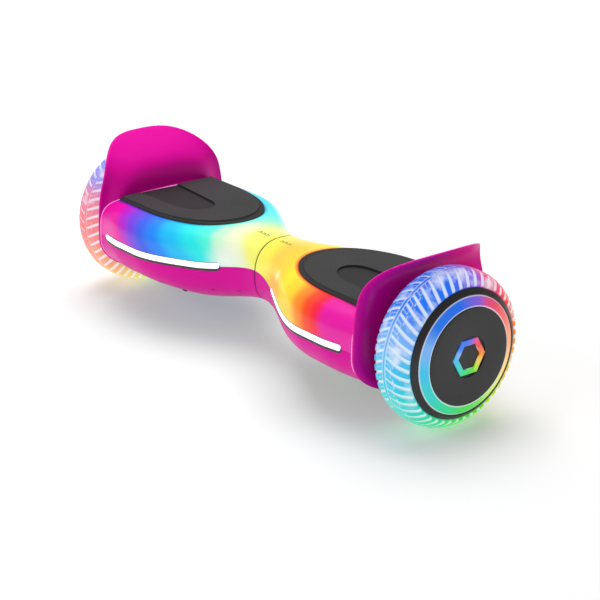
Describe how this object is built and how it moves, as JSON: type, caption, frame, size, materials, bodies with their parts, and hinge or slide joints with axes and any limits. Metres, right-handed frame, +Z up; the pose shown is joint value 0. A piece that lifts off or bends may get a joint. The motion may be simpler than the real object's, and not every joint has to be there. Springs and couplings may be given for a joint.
{
  "type": "self balancing hoverboard",
  "caption": "Self-balancing board: two lit half shells that twist about a centre pivot, rubber foot pads, and a hub-motor wheel with a clear tread at each end.",
  "frame": {"origin": "on the floor, midway between the two wheels, under the centre pivot", "axes": "+X along the wheel axles towards the half that holds the controller, -Y towards the light bars, +Z up"},
  "size_m": [0.5998, 0.1879, 0.1866],
  "materials": {
    "shell_magenta": "satin moulded shell, magenta",
    "shell_glow": "satin translucent moulded shell, lit from within in rainbow colours",
    "pad_rubber": "matte moulded grip rubber",
    "lens_white": "frosted white light bar, lit",
    "circuit_board": "green circuit board",
    "cast_frame": "die-cast, bead-blasted",
    "steel_part": "machined",
    "motor_winding": "laminated core with copper windings",
    "tyre_clear": "clear translucent tyre, lit from the hub",
    "rim_alloy": "cast and turned",
    "hub_black": "satin black trim",
    "hub_glow": "frosted diffuser, lit in rainbow colours",
    "bush_bronze": "oiled bronze",
    "washer_nylon": "black nylon",
    "cable_black": "sleeved lead bundle",
    "battery_wrap": "blue shrink wrap over steel and aluminium cells",
    "controller": "circuit board on an aluminium heat sink",
    "speaker_magnet": "painted magnet and basket",
    "socket_black": "moulded socket",
    "cap_rubber": "soft rubber flap",
    "switch_ring": "plated ring",
    "button_black": "satin key"
  },
  "bodies": {
    "left_half": {"left_upper_shell": "shell_glow", "left_lower_shell": "shell_magenta", "left_fender": "shell_magenta", "left_headlight_lens": "lens_white", "left_headlight_board": "circuit_board", "left_frame": "cast_frame", "left_axle_clamp": "steel_part", "left_gyro_board": "circuit_board", "left_axle": "steel_part", "left_stator": "motor_winding", "pivot_tube": "steel_part", "pivot_washer": "washer_nylon", "pivot_circlip": "steel_part", "pivot_harness": "cable_black", "battery_pack": "battery_wrap", "battery_bracket": "steel_part"},
    "right_half": {"right_upper_shell": "shell_glow", "right_lower_shell": "shell_magenta", "right_fender": "shell_magenta", "right_headlight_lens": "lens_white", "right_headlight_board": "circuit_board", "right_frame": "cast_frame", "right_axle_clamp": "steel_part", "right_gyro_board": "circuit_board", "right_axle": "steel_part", "right_stator": "motor_winding", "pivot_inner_bush": "bush_bronze", "pivot_outer_bush": "bush_bronze", "main_board": "controller", "speaker": "speaker_magnet", "charging_socket": "socket_black", "power_switch": "switch_ring"},
    "left_pedal": {"left_footpad": "pad_rubber", "left_front_plunger": "washer_nylon", "left_rear_plunger": "washer_nylon"},
    "left_wheel": {"left_tyre": "tyre_clear", "left_wheel_rim": "rim_alloy", "left_hub_ring": "hub_black", "left_light_ring": "hub_glow", "left_hub_cap": "hub_black", "left_hub_emblem": "hub_glow", "left_motor_cover": "rim_alloy", "left_inner_bearing": "steel_part", "left_outer_bearing": "steel_part", "left_magnet_ring": "steel_part"},
    "right_pedal": {"right_footpad": "pad_rubber", "right_front_plunger": "washer_nylon", "right_rear_plunger": "washer_nylon"},
    "right_wheel": {"right_tyre": "tyre_clear", "right_wheel_rim": "rim_alloy", "right_hub_ring": "hub_black", "right_light_ring": "hub_glow", "right_hub_cap": "hub_black", "right_hub_emblem": "hub_glow", "right_motor_cover": "rim_alloy", "right_inner_bearing": "steel_part", "right_outer_bearing": "steel_part", "right_magnet_ring": "steel_part"},
    "port_cap": {"port_cap": "cap_rubber"},
    "power_button": {"power_button": "button_black"}
  },
  "joints": [
    {"name": "centre_pivot", "type": "hinge", "parent": "left_half", "child": "right_half", "pos_m": [0, 0, 0.087], "axis": [1, 0, 0], "range_deg": [-12, 12]},
    {"name": "left_wheel_spin", "type": "hinge", "parent": "left_half", "child": "left_wheel", "pos_m": [-0.2665, 0, 0.0825], "axis": [1, 0, 0], "continuous": true},
    {"name": "right_wheel_spin", "type": "hinge", "parent": "right_half", "child": "right_wheel", "pos_m": [0.2665, 0, 0.0825], "axis": [1, 0, 0], "continuous": true},
    {"name": "left_pedal_press", "type": "slide", "parent": "left_half", "child": "left_pedal", "axis": [0, 0, -1], "range_m": [0, 0.0015], "stiffness_N_per_m": 6000, "springref_m": -0.0006},
    {"name": "right_pedal_press", "type": "slide", "parent": "right_half", "child": "right_pedal", "axis": [0, 0, -1], "range_m": [0, 0.0015], "stiffness_N_per_m": 6000, "springref_m": -0.0006},
    {"name": "port_cap_hinge", "type": "hinge", "parent": "right_half", "child": "port_cap", "pos_m": [0.185, 0.0937, 0.08035], "axis": [1, 0, 0], "range_deg": [0, 120]},
    {"name": "power_button_press", "type": "slide", "parent": "right_half", "child": "power_button", "axis": [0, -0.9169, 0.399], "range_m": [0, 0.0012], "stiffness_N_per_m": 500, "springref_m": -0.001}
  ]
}
